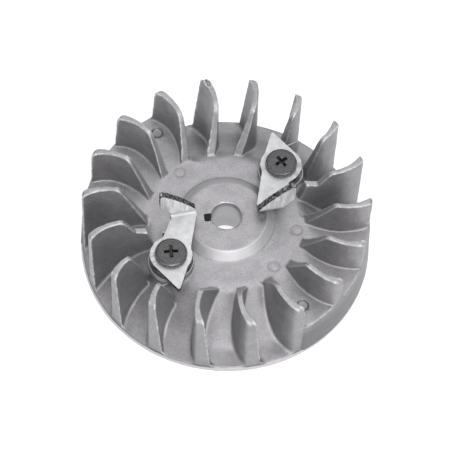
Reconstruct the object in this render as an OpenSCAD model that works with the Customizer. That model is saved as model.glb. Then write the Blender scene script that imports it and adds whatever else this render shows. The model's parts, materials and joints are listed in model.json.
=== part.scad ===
// Flywheel of a small two-stroke engine, with cooling-fan blades on its face
// and two sprung starter pawls on shoulder screws.
// Frame: millimetres. Z is the crankshaft axis and the rim's back edge is
// z = 0. The blades and pawls are on the +Z side.

/* [Casting] */
// Radius of the rim at its back edge
rim_r = 49; // [40:0.5:60]
// Radius of the rim's front edge
rim_front_r = 48.2; // [39:0.1:59]
// Height of the thin rim's front edge
rim_front_z = 1.6; // [1:0.1:4]
// Radius where the low floor between blades meets the cone
floor_corner_r = 40.4; // [34:0.1:46]
// Height of the low floor at that corner
floor_corner_z = 2.5; // [2:0.1:5]
// Radius of the flat face round the hub
face_r = 26.4; // [20:0.1:32]
// Height of the flat face round the hub
face_z = 15.6; // [10:0.1:24]
// Thickness of the cone and of the face behind it
web_t = 3.1; // [2:0.1:6]

/* [Hub] */
// Radius of the hub boss at its foot
hub_foot_r = 16.5; // [12:0.1:20]
// Radius of the hub boss at its top
hub_top_r = 13.4; // [9:0.05:18]
// Height of the hub boss's top
hub_top_z = 18.15; // [16:0.05:26]
// Radius of the hub behind the face
hub_back_r = 11.5; // [9:0.1:15]
// Height of the hub's back end
hub_back_z = 2; // [0:0.1:6]
// Radius of the bore's cylindrical land, at the nut end
bore_r = 5.05; // [4:0.05:8]
// Length of the cylindrical land
land_h = 2.6; // [1:0.1:6]
// Taper of the bore below the land, as diameter lost per length
bore_taper = 0.1; // [0.05:0.01:0.2]
// Width of the keyway
key_w = 3; // [2:0.1:5]
// Radius of the keyway's floor
key_r = 7.5; // [5.5:0.1:9]
// Direction of the keyway, in degrees from +X
key_angle = 190; // [0:1:360]

/* [Fan blades] */
// Number of blades
blade_count = 18; // [10:1:30]
// Height of the blades' top edges
blade_top_z = 30.2; // [20:0.1:45]
// Thickness of a blade
blade_t = 1.9; // [1:0.1:4]
// Direction of the first blade's foot, in degrees from +X
blade_start = 5; // [0:1:20]
// Radius of a blade's foot, at the face
blade_foot_r = 26; // [20:0.1:34]
// Radius where a blade's front edge reaches full height
blade_crest_r = 35.6; // [28:0.1:44]
// Radius of a blade's outer tip at full height
blade_tip_r = 48; // [40:0.1:56]
// Radius of the foot of the four short blades beside the pawls
short_foot_r = 33.2; // [28:0.1:38]
// Radius where the short blades reach full height
short_crest_r = 39.1; // [33:0.1:44]
// Height of the stop post at the foot of two blades
post_z = 24; // [20:0.1:28]
// Outer radius of the stop post
post_r = 31.6; // [28:0.1:36]

/* [Magnet] */
// Direction of the magnet, in degrees from +X
magnet_angle = 153; // [0:1:360]
// Angle that each pole shoe spans
pole_span = 12; // [6:1:18]
// Angle between the pole shoes
pole_gap = 10; // [6:1:16]
// Inner radius of the pole shoes
pole_in_r = 38; // [32:0.5:44]
// Height of the pole shoes' lower ends
pole_low_z = 1.5; // [0:0.1:4]
// Height of the pole shoes' upper ends
pole_high_z = 12.5; // [8:0.1:15]
// Gap round each cast-in piece
insert_gap = 0.03; // [0:0.01:0.2]

/* [Pawls] */
// Radius of the circle that the pawl pivots stand on
pivot_pcd_r = 25.4; // [20:0.1:32]
// Direction of the first pivot, in degrees from +X
pivot_angle = 47.2; // [0:0.1:360]
// Radius of the cast boss under each pawl
boss_r = 6.5; // [4:0.1:9]
// Height of that boss's top
boss_z = 20.1; // [17:0.1:26]
// Height of the pawl plate's lower side
pawl_z = 20.4; // [18:0.1:27]
// Thickness of the pawl plate
pawl_t = 2.1; // [1:0.1:4]
// Radius of the pawl's eye, outside
eye_r = 6.95; // [5:0.05:9]
// Radius of the shoulder that the pawl turns on
shoulder_r = 3.5; // [2:0.1:5]
// Radial clearance of the pawl on the shoulder
pawl_clearance = 0.06; // [0.02:0.01:0.1]
// Distance of the tail's tip from the pivot
tail_len = 13; // [9:0.1:16]
// Direction of the tail, in degrees from the pawl's +X
tail_angle = 104.5; // [90:0.5:120]
// Inside radius of the bend between plate and claw
bend_r = 1.2; // [0.5:0.1:3]
// Height of the claw's tip
claw_top_z = 34.5; // [26:0.1:40]
// Length of the claw along the bend
claw_len = 12; // [8:0.1:16]
// Direction of the bend, in degrees from the pawl's +X
claw_angle = 15; // [0:1:40]
// Outward swing of the pawls, in degrees
pawl_swing = 0; // [0:1:28]

/* [Screws and springs] */
// Radius of the screw's thread
thread_r = 2.5; // [1.5:0.1:4]
// Depth of the thread below the boss's top
thread_h = 7; // [4:0.1:9]
// Radius of the washer under the head
washer_r = 5.35; // [4:0.05:7]
// Thickness of that washer
washer_t = 0.7; // [0.4:0.1:1.5]
// Radius of the screw's head
head_r = 5.2; // [4:0.05:7]
// Height of the head's top
head_top_z = 24.7; // [22:0.1:30]
// Diameter of the spring's wire
wire_d = 0.9; // [0.5:0.1:1.5]
// Radius of the spring's coil, to the wire's centre
coil_r = 7.35; // [6:0.05:9]
// Direction where the spring's braced leg leaves the coil, from +X
brace_angle = 122; // [90:1:150]
// Place of the spring's hook, from the pivot
spring_hook = [3.1, -9];

/* [Hidden] */
$fn = 96;
blade_pitch = 360 / blade_count;
cone_slope = (face_z - floor_corner_z) / (floor_corner_r - face_r);
land_low_z = hub_top_z - land_h;
taper_low_r = bore_r + (land_low_z - hub_back_z) * bore_taper / 2;
washer_z = pawl_z + pawl_t + 0.25;
head_z = washer_z + washer_t;
coil_z = face_z + wire_d / 2 + 0.5;
overlap = 0.01;

// Which sub-part to draw, or all of them

// ---------- shared places ----------

// Puts its children at pivot 0 or pivot 1, which is half a turn away.
module at_pivot(i) {
    rotate([0, 0, 180 * i])
        translate([
            pivot_pcd_r * cos(pivot_angle),
            pivot_pcd_r * sin(pivot_angle),
            0
        ])
            children();
}

// Point of a blade's centre line for t from 0, at the foot, to 1, at the tip.
// It is a cubic curve that bows clockwise and comes back.
function blade_point(t) =
    let (
        a = [25.4, 0.4],
        b = [33, -3.6],
        c = [41, -5.6],
        d = [48.6, -1.3],
        u = 1 - t
    )
    a * u * u * u + b * 3 * u * u * t + c * 3 * u * t * t + d * t * t * t;

// Unit normal of that centre line.
function blade_normal(t) =
    let (v = blade_point(t + 0.01) - blade_point(t - 0.01))
    [-v.y, v.x] / norm(v);

// Side of a blade's outline, at a signed distance from the centre line.
function blade_side(offset_by, steps = 10) =
    [for (i = [0 : steps])
        blade_point(i / steps) + blade_normal(i / steps) * offset_by];

function turn(p, a) =
    [p.x * cos(a) - p.y * sin(a), p.x * sin(a) + p.y * cos(a)];

function reversed(list) =
    [for (i = [len(list) - 1 : -1 : 0]) list[i]];

function is_short(i) = i == 2 || i == 3 || i == 11 || i == 12;

function has_post(i) = i == 1 || i == 10;

// ---------- casting ----------

// Full turned section: thin rim, cone, flat face and hub.
module turned_section() {
    polygon([
        [0, hub_back_z],
        [hub_back_r, hub_back_z],
        [hub_back_r + 1, face_z - web_t],
        [face_r - 1.2, face_z - web_t],
        [face_r - 1.2 + (face_z - web_t) / cone_slope, 0],
        [rim_r, 0],
        [rim_front_r, rim_front_z],
        [floor_corner_r, floor_corner_z],
        [face_r, face_z],
        [hub_foot_r, face_z],
        [hub_top_r, hub_top_z],
        [0, hub_top_z]
    ]);
}

// Section of the thick sectors, level with the face out to the rim.
module raised_section() {
    polygon([
        [face_r - 1, face_z - web_t],
        [face_r - 1 + (face_z - web_t) / cone_slope, 0],
        [rim_r, 0],
        [rim_front_r - 0.1, face_z],
        [face_r - 1, face_z]
    ]);
}

// Plan of a thick sector: it runs between the centre lines of two blades.
module sector_plan() {
    low = [for (p = blade_side(0)) turn(p, -3 * blade_pitch)];
    high = blade_side(0);
    arc = [for (a = [-3 * blade_pitch : 4 : 0])
        [(rim_r + 1) * cos(a), (rim_r + 1) * sin(a)]];
    polygon(concat([[0, 0]], low, arc, reversed(high)));
}

module raised_sector() {
    rotate([0, 0, blade_start])
        intersection() {
            linear_extrude(height = face_z)
                sector_plan();
            rotate_extrude()
                raised_section();
        }
}

module pole_block(centre, gap) {
    half = pole_span / 2 + gap;
    rotate([0, 0, magnet_angle + centre - half])
        rotate_extrude(angle = 2 * half)
            polygon([
                [pole_in_r - gap, pole_low_z - gap],
                [wall_r(pole_low_z - gap) + gap * 30, pole_low_z - gap],
                [wall_r(pole_high_z + gap) + gap * 30, pole_high_z + gap],
                [pole_in_r - gap, pole_high_z + gap]
            ]);
}

// Radius of a thick sector's outer wall at a height.
function wall_r(z) = rim_r - z * (rim_r - rim_front_r + 0.1) / face_z;

module magnet_block(gap) {
    width = 2 * (pole_in_r + 3) * sin(pole_gap / 2) - 0.4 + 2 * gap;
    rotate([0, 0, magnet_angle])
        translate([pole_in_r + 0.6 - gap, -width / 2, pole_low_z + 0.5 - gap])
            cube([
                6.4 + 2 * gap,
                width,
                pole_high_z - pole_low_z - 1 + 2 * gap
            ]);
}

module bore_cut() {
    translate([0, 0, hub_back_z])
        cylinder(h = land_low_z - hub_back_z, r1 = taper_low_r, r2 = bore_r);
    translate([0, 0, hub_back_z - 1])
        cylinder(h = 1 + overlap, r = taper_low_r);
    translate([0, 0, land_low_z - overlap])
        cylinder(h = land_h + 1, r = bore_r);
    rotate([0, 0, key_angle])
        translate([0, -key_w / 2, hub_back_z - 1])
            cube([key_r, key_w, hub_top_z]);
}

module flywheel_casting() {
    color([0.66, 0.66, 0.68])
    difference() {
        union() {
            rotate_extrude()
                turned_section();
            for (half = [0, 180])
                rotate([0, 0, half])
                    raised_sector();
            for (i = [0, 1])
                at_pivot(i)
                    translate([0, 0, face_z - 8])
                        cylinder(h = boss_z - face_z + 8, r = boss_r);
        }
        bore_cut();
        for (i = [0, 1])
            at_pivot(i)
                translate([0, 0, boss_z - thread_h - 0.6])
                    cylinder(h = thread_h + 1, r = thread_r);
        pole_block((pole_span + pole_gap) / 2, insert_gap);
        pole_block(-(pole_span + pole_gap) / 2, insert_gap);
        magnet_block(insert_gap);
    }
}

// ---------- fan blades ----------

// Height outline of a blade, swept round the axis.
module blade_sweep(foot, crest, post) {
    rotate_extrude()
        polygon(concat(
            [[foot, 0.5], [foot, face_z]],
            post ? [
                [foot + 1.9, post_z],
                [post_r, post_z]
            ] : [],
            [
                [crest, blade_top_z],
                [blade_tip_r, blade_top_z],
                [rim_front_r - 0.1, 0.5]
            ]
        ));
}

module blade(i) {
    foot = is_short(i) ? short_foot_r : blade_foot_r;
    crest = is_short(i) ? short_crest_r : blade_crest_r;
    intersection() {
        linear_extrude(height = blade_top_z + 1)
            polygon(concat(
                blade_side(-blade_t / 2),
                reversed(blade_side(blade_t / 2))
            ));
        blade_sweep(foot, crest, has_post(i));
    }
}

// Everything under the casting's front surface, which the blades stand on.
module under_floor() {
    rotate_extrude()
        polygon([
            [0, -1],
            [rim_r + 1, -1],
            [rim_front_r + 1, rim_front_z - 0.1],
            [rim_front_r, rim_front_z],
            [floor_corner_r, floor_corner_z],
            [face_r, face_z],
            [0, face_z]
        ]);
    for (half = [0, 180])
        rotate([0, 0, half + blade_start])
            linear_extrude(height = face_z)
                sector_plan();
    for (i = [0, 1])
        at_pivot(i)
            cylinder(h = boss_z, r = boss_r);
}

module fan_blades() {
    color([0.7, 0.7, 0.72])
    difference() {
        for (i = [0 : blade_count - 1])
            rotate([0, 0, blade_start + i * blade_pitch])
                blade(i);
        under_floor();
    }
}

// ---------- magnet and pole shoes ----------

module magnet() {
    color([0.25, 0.25, 0.27])
        magnet_block(0);
}

module leading_pole_shoe() {
    color([0.5, 0.5, 0.52])
        pole_block((pole_span + pole_gap) / 2, 0);
}

module trailing_pole_shoe() {
    color([0.5, 0.5, 0.52])
        pole_block(-(pole_span + pole_gap) / 2, 0);
}

// ---------- pawls ----------

// Far edge of the arm, where the bend starts. The arm's inner corner is
// the claw's start, and the claw runs from it along claw_angle.
arm_corner = [-7.4, -16];

module pawl_plan() {
    tip = tail_len * [cos(tail_angle), sin(tail_angle)];
    along = [cos(claw_angle), sin(claw_angle)];
    circle(r = eye_r);
    polygon([
        [-5.7, 4],
        tip + [-0.75, -0.6],
        tip + [-0.1, 0.1],
        tip + [0.75, -0.5],
        [5.6, 4.1],
        [4.1, -5.5],
        [3, -6.4],
        arm_corner + along * 8.6,
        arm_corner,
        [-6.3, -2.9]
    ]);
}

// Face of the claw: along the bend, then up.
module claw_face() {
    base = pawl_z + pawl_t + bend_r;
    polygon([
        [0, base],
        [8.6, base],
        [10.6, base + 3],
        [11.6, base + 5.4],
        [claw_len, claw_top_z - 0.7],
        [claw_len - 0.7, claw_top_z],
        [claw_len - 1.9, claw_top_z - 0.1],
        [5.6, claw_top_z - 3.9],
        [4.1, claw_top_z - 5.3],
        [1.6, claw_top_z - 8.9]
    ]);
}

// Quarter round between the plate and the claw.
module claw_bend() {
    translate([0, 0, pawl_z + pawl_t + bend_r])
        rotate([0, 90, 0])
            rotate_extrude(angle = -90)
                translate([bend_r, 0])
                    square([pawl_t, 8.6]);
}

module claw_frame() {
    translate([arm_corner.x, arm_corner.y, 0])
        rotate([0, 0, claw_angle])
            children();
}

module pawl() {
    difference() {
        union() {
            translate([0, 0, pawl_z])
                linear_extrude(height = pawl_t)
                    pawl_plan();
            claw_frame() {
                claw_bend();
                translate([0, -bend_r, 0])
                    rotate([90, 0, 0])
                        linear_extrude(height = pawl_t)
                            claw_face();
            }
        }
        translate([0, 0, pawl_z - 1])
            cylinder(h = pawl_t + 2, r = shoulder_r + pawl_clearance);
    }
}

module pawl_a() {
    color([0.8, 0.8, 0.82])
        at_pivot(0)
            rotate([0, 0, pawl_swing])
                pawl();
}

module pawl_b() {
    color([0.8, 0.8, 0.82])
        at_pivot(1)
            rotate([0, 0, pawl_swing])
                pawl();
}

// ---------- screws, washers and springs ----------

module cross_recess() {
    for (a = [40, 130])
        rotate([0, 0, a])
            translate([-2.3, -0.45, head_top_z - 1])
                cube([4.6, 0.9, 1.1]);
    translate([0, 0, head_top_z - 1.6])
        cylinder(h = 1.7, r1 = 0.5, r2 = 1.3);
}

module shoulder_screw() {
    difference() {
        union() {
            translate([0, 0, boss_z - thread_h])
                cylinder(h = thread_h + overlap, r = thread_r);
            translate([0, 0, boss_z])
                cylinder(h = head_z - boss_z + overlap, r = shoulder_r);
            translate([0, 0, head_z])
                cylinder(h = head_top_z - head_z - 0.4, r = head_r);
            translate([0, 0, head_top_z - 0.4])
                cylinder(h = 0.4, r1 = head_r, r2 = head_r - 0.4);
        }
        cross_recess();
    }
}

module pawl_screw_a() {
    color([0.32, 0.32, 0.33])
        at_pivot(0)
            shoulder_screw();
}

module pawl_screw_b() {
    color([0.32, 0.32, 0.33])
        at_pivot(1)
            shoulder_screw();
}

module washer() {
    translate([0, 0, washer_z])
        difference() {
            cylinder(h = washer_t, r = washer_r);
            translate([0, 0, -1])
                cylinder(h = washer_t + 2, r = shoulder_r + 0.05);
        }
}

module pawl_washer_a() {
    color([0.4, 0.4, 0.41])
        at_pivot(0)
            washer();
}

module pawl_washer_b() {
    color([0.4, 0.4, 0.41])
        at_pivot(1)
            washer();
}

// Upright stretch of wire that joins two stretches, or two turns.
module knuckle(z, rise) {
    lap = wire_d * 0.55;
    translate([coil_r, 0, z - lap])
        cylinder(h = rise + 2 * lap, d = wire_d * 1.1);
}

// Part of one coil turn, clockwise from a start angle, with a riser at its end.
module coil_turn(z, from, span, rise) {
    rotate([0, 0, from - span]) {
        translate([0, 0, z])
            rotate_extrude(angle = span)
                translate([coil_r, 0])
                    circle(d = wire_d, $fn = 24);
        knuckle(z, rise);
    }
}

// Straight leg that leaves the coil along its tangent. Sense is 1 for a leg
// that goes on anticlockwise and -1 for one that goes clockwise.
module leg(z, from, length, sense) {
    rotate([0, 0, from]) {
        knuckle(z, 0);
        translate([coil_r, 0, z])
            rotate([-90 * sense, 0, 0])
                cylinder(h = length, d = wire_d);
    }
}

// Torsion spring round the boss. The top turn's leg is braced beside the
// nearest blade. The bottom turn's leg runs under the arm and hooks up
// against the arm's outer edge.
module torsion_spring() {
    pitch = 1.4 * wire_d;
    hook_reach = norm(spring_hook);
    hook_angle = atan2(spring_hook.y, spring_hook.x);
    leave_angle = hook_angle - acos(coil_r / hook_reach);
    hook_low = coil_z - wire_d * 0.55;
    leg(coil_z, leave_angle, sqrt(pow(hook_reach, 2) - pow(coil_r, 2)), 1);
    translate([spring_hook.x, spring_hook.y, hook_low])
        cylinder(h = pawl_z + pawl_t - hook_low, d = wire_d * 1.1);
    coil_turn(coil_z, leave_angle, 345, pitch);
    coil_turn(coil_z + pitch, leave_angle - 345, 345, pitch);
    coil_turn(
        coil_z + 2 * pitch,
        leave_angle - 690,
        leave_angle - 690 - (brace_angle - 720 - 360),
        0
    );
    leg(coil_z + 2 * pitch, brace_angle, 10.5, -1);
}

module pawl_spring_a() {
    color([0.6, 0.6, 0.62])
        at_pivot(0)
            torsion_spring();
}

module pawl_spring_b() {
    color([0.6, 0.6, 0.62])
        at_pivot(1)
            torsion_spring();
}

flywheel_casting();
fan_blades();
magnet();
leading_pole_shoe();
trailing_pole_shoe();
pawl_a();
pawl_b();
pawl_screw_a();
pawl_screw_b();
pawl_washer_a();
pawl_washer_b();
pawl_spring_a();
pawl_spring_b();
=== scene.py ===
"""Flywheel of a small two-stroke engine: casting, starter pawls, screws and springs."""

import json
import math

import bmesh
import bpy
import numpy as np
import openvdb
from mathutils import Matrix, Vector


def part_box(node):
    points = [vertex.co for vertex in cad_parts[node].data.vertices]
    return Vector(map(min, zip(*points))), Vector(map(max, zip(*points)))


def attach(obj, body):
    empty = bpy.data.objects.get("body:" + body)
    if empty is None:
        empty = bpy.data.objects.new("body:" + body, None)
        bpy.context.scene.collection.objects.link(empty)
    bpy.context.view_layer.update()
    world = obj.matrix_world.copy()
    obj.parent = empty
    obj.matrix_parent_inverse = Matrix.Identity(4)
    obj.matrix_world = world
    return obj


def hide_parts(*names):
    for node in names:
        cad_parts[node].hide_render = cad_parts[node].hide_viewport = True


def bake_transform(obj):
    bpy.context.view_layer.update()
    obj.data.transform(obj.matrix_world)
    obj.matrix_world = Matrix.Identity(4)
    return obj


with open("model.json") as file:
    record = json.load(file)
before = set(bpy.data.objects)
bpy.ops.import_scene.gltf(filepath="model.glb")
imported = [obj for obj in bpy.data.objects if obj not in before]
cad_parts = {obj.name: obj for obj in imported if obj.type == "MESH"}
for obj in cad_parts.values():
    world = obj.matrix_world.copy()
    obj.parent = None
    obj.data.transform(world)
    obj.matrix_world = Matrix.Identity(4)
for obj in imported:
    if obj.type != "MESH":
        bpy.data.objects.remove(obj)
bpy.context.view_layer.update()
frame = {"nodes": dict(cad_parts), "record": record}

MM = 0.001  # everything below is in millimetres until a mesh is made

# ---------- places read from the frame ----------

joint_a, joint_b = frame["record"]["behaviour"]["joints"]
PIVOTS = {
    "a": Vector(joint_a["pos_m"]) / MM,
    "b": Vector(joint_b["pos_m"]) / MM,
}


def node_box(node):
    """Lowest and highest corner of a CAD node, in millimetres."""
    low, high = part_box(node)
    return Vector(low) / MM, Vector(high) / MM


_, CASTING_HIGH = node_box("flywheel_casting")
_, BLADES_HIGH = node_box("fan_blades")
PAWL_LOW, PAWL_HIGH = node_box("pawl_a")
SCREW_LOW, SCREW_HIGH = node_box("pawl_screw_a")
WASHER_LOW, WASHER_HIGH = node_box("pawl_washer_a")
SPRING_LOW, _ = node_box("pawl_spring_a")

# Driving sizes, as in the CAD but for the blades, which taper and reach 0.2 mm further
RIM_R = 49.0
RIM_FRONT_R = 48.2
RIM_FRONT_Z = 1.6
FLOOR_R, FLOOR_Z = 40.4, 2.5
FACE_R, FACE_Z = 26.4, 15.6
WEB_T = 3.1
HUB_FOOT_R, HUB_TOP_R, HUB_TOP_Z = 16.5, 13.4, 18.15
HUB_BACK_R, HUB_BACK_Z = 11.5, 2.0
BORE_R, LAND_H, TAPER = 5.05, 2.6, 0.1
KEY_W, KEY_R, KEY_ANGLE = 3.0, 7.5, 190.0
BORE_CHAMFER, KEY_CORNER = 0.22, 0.3
BLADE_COUNT, BLADE_START = 18, 5.0
BLADE_TOP_Z = BLADES_HIGH.z
BLADE_TIP_R = 48.2
BOSS_R, BOSS_Z, BOSS_FOOT_Z = 6.5, CASTING_HIGH.z, 8.0
SECTOR_TURNS = (0.0, 180.0)

# Radius at a blade's foot and at its crest
LONG_START, SHORT_START = (26.0, 35.6), (33.2, 39.1)
SHORT_BLADES = (2, 3, 11, 12)

# Blades with a low post at the foot, by the bosses
POST_BLADES = (1, 10)
POST_TOP_Z, POST_END_R = 24.0, 31.6

# Blades with a rounder crest, and both crest roundings
ROUND_BLADES = (5, 6, 14, 15)
ROUND_CREST, PLAIN_CREST = 4.5, 2.6

# Half a blade's thickness at its top, what it gains per mm down and at its tip
BLADE_HALF_T, BLADE_DRAFT, TIP_SWELL = 0.87, 0.038, 0.32
SWELL_START_R, SWELL_RUN = 41.5, 5

# Fillet at a blade's foot, wider down the cone
FOOT_FILLET, FILLET_DRAFT = 0.6, 0.045

# Roundings: along a blade's edges, at its tip, on a boss and at its foot, on the rim
EDGE_ROUND, TIP_ROUND, BOSS_ROUND, BOSS_FILLET, RIM_ROUND = 0.25, 1.4, 0.5, 1.6, 0.3

# A sector's wall leans in by this much per mm of height
WALL_LEAN = (RIM_R - RIM_FRONT_R + 0.1) / FACE_Z

# Marks of the ejector pins on the face, and two deeper pits, as (radius, angle)
EJECTOR_MARKS = ((24.2, 133.8), (23.7, -5.3), (23.6, -45.1))
PITS = ((41.5, 127.7), (40.7, -49.0))
PIN_R, PIN_DEPTH, RING_DEPTH, RING_W = 1.8, 0.04, 0.15, 0.28
PIT_R, PIT_DEPTH, PIT_EDGE = 1.95, 0.45, 0.3
MARK_REACH = 1.6  # how far above and below the face a mark can act

# Chips broken from the tip of one blade, as (radius, angle, depth below its top, size)
CHIPS = (
    (46.9, 102.6, 0.6, 0.85), (46.1, 101.4, 0.1, 0.65), (45.0, 101.3, 0.0, 0.6),
    (43.4, 100.2, 0.0, 0.5),
)

# Pole shoes, let into the wall of one sector, either side of the magnet
SHOE_R, SHOE_SPAN = 38.0, 12.0
SHOE_LOW_Z, SHOE_HIGH_Z = (corner.z for corner in node_box("leading_pole_shoe"))
MAGNET_ANGLE, SHOE_OFFSET = 153.0, 11.0
SHOE_TURNS = (MAGNET_ANGLE - SHOE_OFFSET, MAGNET_ANGLE + SHOE_OFFSET)


# ---------- scene helpers ----------

def add_object(name, mesh, body, replaced):
    """Links a mesh as a piece that rides on a body and stands for CAD nodes."""
    obj = bpy.data.objects.new(name, mesh)
    bpy.context.scene.collection.objects.link(obj)
    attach(obj, body)
    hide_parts(*replaced)
    return obj


def apply_modifiers(obj):
    """Puts an object's modifiers into its mesh."""
    graph = bpy.context.evaluated_depsgraph_get()
    mesh = bpy.data.meshes.new_from_object(obj.evaluated_get(graph))
    obj.modifiers.clear()
    old = obj.data
    obj.data = mesh
    bpy.data.meshes.remove(old)


def smooth(mesh, sharp_degrees):
    """Shades a mesh smooth, with edges over an angle kept sharp."""
    mesh.polygons.foreach_set("use_smooth", [True] * len(mesh.polygons))
    mesh.set_sharp_from_angle(angle=math.radians(sharp_degrees))


def polar(radius, degrees, z=0.0):
    """Point at a radius and an angle round the crankshaft's axis."""
    a = math.radians(degrees)
    return Vector((radius * math.cos(a), radius * math.sin(a), z))


def mesh_from(bm, name):
    """Turns a bmesh into a mesh, with its faces outwards."""
    bmesh.ops.recalc_face_normals(bm, faces=bm.faces)
    mesh = bpy.data.meshes.new(name)
    bm.to_mesh(mesh)
    bm.free()
    return mesh


# ---------- signed distance fields, for the cast shape ----------

def rounded(corners, steps=6):
    """Outline from (x, y, radius) corners, with a curve at each."""
    out = []
    count = len(corners)
    for i, (x, y, radius) in enumerate(corners):
        here = np.array([x, y])
        if radius == 0:
            out.append(here)
            continue
        back = np.array(corners[i - 1][:2]) - here
        ahead = np.array(corners[(i + 1) % count][:2]) - here
        reach = min(np.linalg.norm(back), np.linalg.norm(ahead)) * 0.49
        back = back / np.linalg.norm(back)
        ahead = ahead / np.linalg.norm(ahead)
        half = math.acos(np.clip(back @ ahead, -1, 1)) / 2
        trim = min(radius / math.tan(half), reach)
        for k in range(steps + 1):
            t = k / steps
            start = here + back * trim
            end = here + ahead * trim
            out.append(
                start * (1 - t) ** 2 + here * 2 * t * (1 - t) + end * t * t
            )
    return out


def outline_distance(points, x, y):
    """Signed distance from a closed outline, negative inside."""
    square = np.full(np.broadcast(x, y).shape, 1e9)
    inside = np.zeros(square.shape, bool)
    for i in range(len(points)):
        ax, ay = points[i - 1]
        bx, by = points[i]
        ex, ey = bx - ax, by - ay
        length = ex * ex + ey * ey
        if length < 1e-12:
            continue
        wx, wy = x - ax, y - ay
        t = np.clip((wx * ex + wy * ey) / length, 0, 1)
        square = np.minimum(square, (wx - ex * t) ** 2 + (wy - ey * t) ** 2)
        if ay != by:
            crosses = (ay > y) != (by > y)
            inside ^= crosses & (x < ex * (y - ay) / ey + ax)
    return np.where(inside, -1.0, 1.0) * np.sqrt(square)


def line_distance(points, x, y):
    """Distance from an open line of points."""
    square = np.full(np.broadcast(x, y).shape, 1e9)
    for (ax, ay), (bx, by) in zip(points, points[1:]):
        ex, ey = bx - ax, by - ay
        wx, wy = x - ax, y - ay
        t = np.clip((wx * ex + wy * ey) / (ex * ex + ey * ey), 0, 1)
        square = np.minimum(square, (wx - ex * t) ** 2 + (wy - ey * t) ** 2)
    return np.sqrt(square)


def soft_min(a, b, width):
    """Union with a fillet about as wide as width."""
    h = np.maximum(width - np.abs(a - b), 0) / width
    return np.minimum(a, b) - h * h * width * 0.25


def soft_max(a, b, width):
    """Intersection with a rounded edge about as wide as width."""
    return -soft_min(-a, -b, width)


EVERYWHERE = (slice(None), slice(None))


class Field:
    """A block of voxels that holds a signed distance."""

    def __init__(self, low, high, step):
        self.step = step
        self.low = np.array(low, float)
        counts = np.ceil((np.array(high) - self.low) / step).astype(int) + 1
        self.x, self.y, self.z = (
            self.low[i] + step * np.arange(counts[i]) for i in range(3)
        )
        self.r = np.hypot(self.x[:, None], self.y[None, :])
        self.value = None

    def window(self, low, high):
        """Index ranges of the voxels between two (x, y) corners."""
        out = []
        for axis, a, b in ((self.x, low[0], high[0]), (self.y, low[1], high[1])):
            out.append(slice(
                int(np.searchsorted(axis, a)), int(np.searchsorted(axis, b)) + 1
            ))
        return tuple(out)

    def plan(self, part=EVERYWHERE):
        """Positions of the voxel columns, as x down and y across."""
        return self.x[part[0], None], self.y[None, part[1]]

    def away(self, centre, part=EVERYWHERE):
        """Distance of the voxel columns from an upright line."""
        x, y = self.plan(part)
        return np.hypot(x - centre.x, y - centre.y)

    def turned(self, points, part=EVERYWHERE):
        """Distance from an (r, z) outline swept round the axis."""
        fine = 0.2
        radii = np.arange(0, self.r.max() + 2 * fine, fine)
        table = outline_distance(points, radii[:, None], self.z[None, :])
        place = self.r[part] / fine
        index = place.astype(int)
        share = (place - index)[..., None]
        return table[index] * (1 - share) + table[index + 1] * share

    def mesh(self, name):
        """Closed mesh where the field is zero, in metres."""
        grid = openvdb.FloatGrid(3.0 * self.step)
        grid.copyFromArray(
            np.clip(self.value, -3 * self.step, 3 * self.step).astype(np.float32)
        )
        points, triangles, quads = grid.convertToPolygons(0.0, 0.0)
        points = (points * self.step + self.low) * MM
        mesh = bpy.data.meshes.new(name)
        faces = [tuple(f) for f in triangles] + [tuple(f) for f in quads]
        mesh.from_pydata([tuple(p) for p in points], [], faces)
        mesh.update()
        return mesh


# ---------- casting ----------

CONE_RUN = FLOOR_R - FACE_R
CONE_SLOPE = (FACE_Z - FLOOR_Z) / CONE_RUN
WEB_Z = FACE_Z - WEB_T
BACK_R = FACE_R - 1.2 + WEB_Z / CONE_SLOPE

TURNED_SECTION = rounded([
    (-5, HUB_BACK_Z, 0),
    (HUB_BACK_R, HUB_BACK_Z, 0.6),
    (HUB_BACK_R + 1, WEB_Z, 1.8),
    (FACE_R - 1.2, WEB_Z, 2.5),
    (BACK_R, 0, 1.0),
    (RIM_R, 0, 0.25),
    (RIM_FRONT_R, RIM_FRONT_Z, 0.5),
    (FLOOR_R, FLOOR_Z, 11.0),
    (FACE_R, FACE_Z, 7.5),
    (HUB_FOOT_R, FACE_Z, 1.0),
    (HUB_TOP_R, HUB_TOP_Z, 0.55),
    (-5, HUB_TOP_Z, 0),
])

SECTOR_SECTION = rounded([
    (HUB_FOOT_R + 1, WEB_Z + 0.5, 0),
    (FACE_R - 1, WEB_Z + 0.5, 0),
    (FACE_R - 1 + WEB_Z / CONE_SLOPE, 0, 1.0),
    (RIM_R, 0, 0.25),
    (RIM_FRONT_R - 0.1, FACE_Z, 0.4),
    (HUB_FOOT_R + 1, FACE_Z, 0),
])

# Where the flat of a sector runs in past its end blades, as (radius, angle)
SECTOR_INNER_CW = ((18.2, -80), (21.1, -72), (24.2, -65.5), (27.3, -59.5))
SECTOR_INNER_CCW = ((26.1, 6.2), (24.0, 11.1), (21.8, 14.4), (18.2, 19))


def blade_line(t, tip_y, bow=0.0):
    """Point of a blade's centre line, which bows clockwise and comes back."""
    a, b, c, d = (
        np.array(p) for p in (
            (25.4, 0.4), (33.0, -3.6), (41.0, -5.6 - bow), (48.6, tip_y),
        )
    )
    u = 1 - t
    return a * u**3 + b * 3 * u * u * t + c * 3 * u * t * t + d * t**3


def turn(points, degrees):
    """Flat points, turned about the crankshaft's axis."""
    a = math.radians(degrees)
    c, s = math.cos(a), math.sin(a)
    return [(p[0] * c - p[1] * s, p[0] * s + p[1] * c) for p in points]


# A blade leans a little at its tip, so its line differs from foot to top
TIP_Y_FOOT, TIP_Y_TOP = 0.1, -1.3
TOP_BOW = 0.5


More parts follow.
